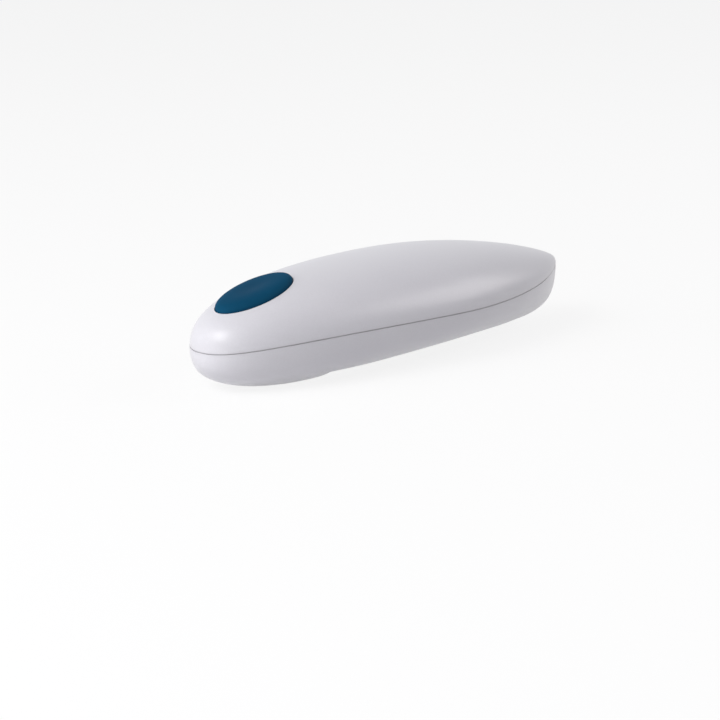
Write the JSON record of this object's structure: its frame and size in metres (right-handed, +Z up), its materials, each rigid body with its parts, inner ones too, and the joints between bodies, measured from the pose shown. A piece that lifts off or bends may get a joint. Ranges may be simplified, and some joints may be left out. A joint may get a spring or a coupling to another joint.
{
  "type": "electric can opener",
  "caption": "Hand-sized battery can opener: egg-shaped two-shell body with a nose button, a geared drive wheel and a swinging side cutter under it.",
  "frame": {"origin": "middle of the footprint, on the level of the flat foot under the nose", "axes": "+X from the nose (button end) to the tail (battery end), +Y to the left seen from above with the nose forward turned to +Y, +Z up"},
  "size_m": [0.1948, 0.0704, 0.0408],
  "materials": {
    "pearl_plastic": "satin pearl silver-white moulded plastic",
    "blue_plastic": "satin dark petrol-blue plastic",
    "steel": "bright drawn steel",
    "hard_steel": "ground hardened steel",
    "screw_steel": "zinc-plated steel",
    "nickel": "nickel plate",
    "bronze": "sintered bronze and brass",
    "motor_steel": "pressed steel can",
    "white_nylon": "natural nylon",
    "grey_plastic": "glass-filled moulded plastic",
    "green_board": "solder-masked board",
    "black_plastic": "black moulded plastic",
    "red_plastic": "red moulded plastic",
    "cell_wrap": "plain printed-free cell wrap",
    "wire_black": "black insulated lead",
    "wire_red": "red insulated lead"
  },
  "bodies": {
    "case": {"upper_case": "pearl_plastic", "lower_case": "pearl_plastic", "circuit_board": "green_board", "switch_body": "black_plastic", "board_screws": "screw_steel", "motor_can": "motor_steel", "motor_end_cap": "white_nylon", "motor_terminals": "nickel", "motor_screws": "screw_steel", "bevel_axle": "steel", "second_axle": "steel", "third_axle": "steel", "spindle_bush": "bronze", "crank_bush": "bronze", "mechanism_plate": "steel", "plate_screws": "screw_steel", "gearbox_base": "grey_plastic", "gearbox_top": "grey_plastic", "gearbox_screws": "screw_steel", "lid_magnet": "nickel", "case_screws": "screw_steel", "screw_plugs": "pearl_plastic", "battery_cell_left": "cell_wrap", "battery_cell_right": "cell_wrap", "contact_negative": "nickel", "contact_positive": "nickel", "contact_bridge": "nickel", "battery_wires": "wire_black", "motor_wires": "wire_red", "button_spring": "steel"},
    "button": {"button_cap": "blue_plastic"},
    "plunger": {"switch_plunger": "red_plastic"},
    "rotor": {"motor_shaft": "steel", "motor_pinion": "bronze"},
    "bevel": {"bevel_gear": "white_nylon"},
    "second": {"second_gear": "white_nylon"},
    "third": {"third_gear": "white_nylon"},
    "spindle": {"final_gear": "white_nylon", "drive_spindle": "steel", "drive_wheel": "hard_steel", "drive_wheel_screw": "screw_steel", "clutch_spring": "steel", "clutch_collar": "steel"},
    "clutch": {"clutch_gear": "white_nylon"},
    "crank": {"cutter_crank": "steel", "cutter_gear": "white_nylon", "cutter_clip": "steel"},
    "cutter": {"cutter_wheel": "hard_steel"},
    "cover": {"battery_cover": "pearl_plastic"}
  },
  "joints": [
    {"name": "button_press", "type": "slide", "parent": "case", "child": "button", "axis": [0.2419, 0, -0.9703], "range_m": [0, 0.002], "stiffness_N_per_m": 800, "springref_m": -0.001, "deforming": ["button_spring"]},
    {"name": "plunger_press", "type": "slide", "parent": "case", "child": "plunger", "axis": [0.2419, 0, -0.9703], "range_m": [0, 0.002]},
    {"name": "third_gear_spin", "type": "hinge", "parent": "case", "child": "third", "pos_m": [-0.03182, -0.01654, 0.02], "axis": [0, 0, 1], "continuous": true},
    {"name": "second_gear_spin", "type": "hinge", "parent": "case", "child": "second", "pos_m": [-0.04521, -0.01321, 0.02], "axis": [0, 0, 1], "continuous": true},
    {"name": "bevel_gear_spin", "type": "hinge", "parent": "case", "child": "bevel", "pos_m": [-0.048, 0, 0.016], "axis": [0, 0, 1], "continuous": true},
    {"name": "motor_spin", "type": "hinge", "parent": "case", "child": "rotor", "pos_m": [-0.057, 0, 0.0117], "axis": [1, 0, 0], "continuous": true},
    {"name": "drive_wheel_spin", "type": "hinge", "parent": "case", "child": "spindle", "pos_m": [-0.0289, 0, 0.005], "axis": [0, 0, 1], "continuous": true},
    {"name": "cutter_close", "type": "hinge", "parent": "case", "child": "crank", "pos_m": [-0.0449, 0, 0.006], "axis": [0, 0, 1], "range_deg": [0, 180]},
    {"name": "clutch_gear_turn", "type": "hinge", "parent": "case", "child": "clutch", "pos_m": [-0.0289, 0, 0.008], "axis": [0, 0, 1], "range_deg": [-180, 0]},
    {"name": "cutter_wheel_spin", "type": "hinge", "parent": "crank", "child": "cutter", "pos_m": [-0.0471, 0, 0.002], "axis": [0, 0, 1], "continuous": true},
    {"name": "battery_cover_open", "type": "hinge", "parent": "case", "child": "cover", "pos_m": [0.0675, 0, 0.0044], "axis": [0, -1, 0], "range_deg": [0, 90]}
  ],
  "couplings": [
    {"joint": "plunger_press", "follows": "button_press", "ratio": 1},
    {"joint": "second_gear_spin", "follows": "third_gear_spin", "ratio": -3.6},
    {"joint": "bevel_gear_spin", "follows": "third_gear_spin", "ratio": 15.84},
    {"joint": "motor_spin", "follows": "third_gear_spin", "ratio": 57.024},
    {"joint": "drive_wheel_spin", "follows": "third_gear_spin", "ratio": -0.3125},
    {"joint": "clutch_gear_turn", "follows": "cutter_close", "ratio": -1}
  ]
}
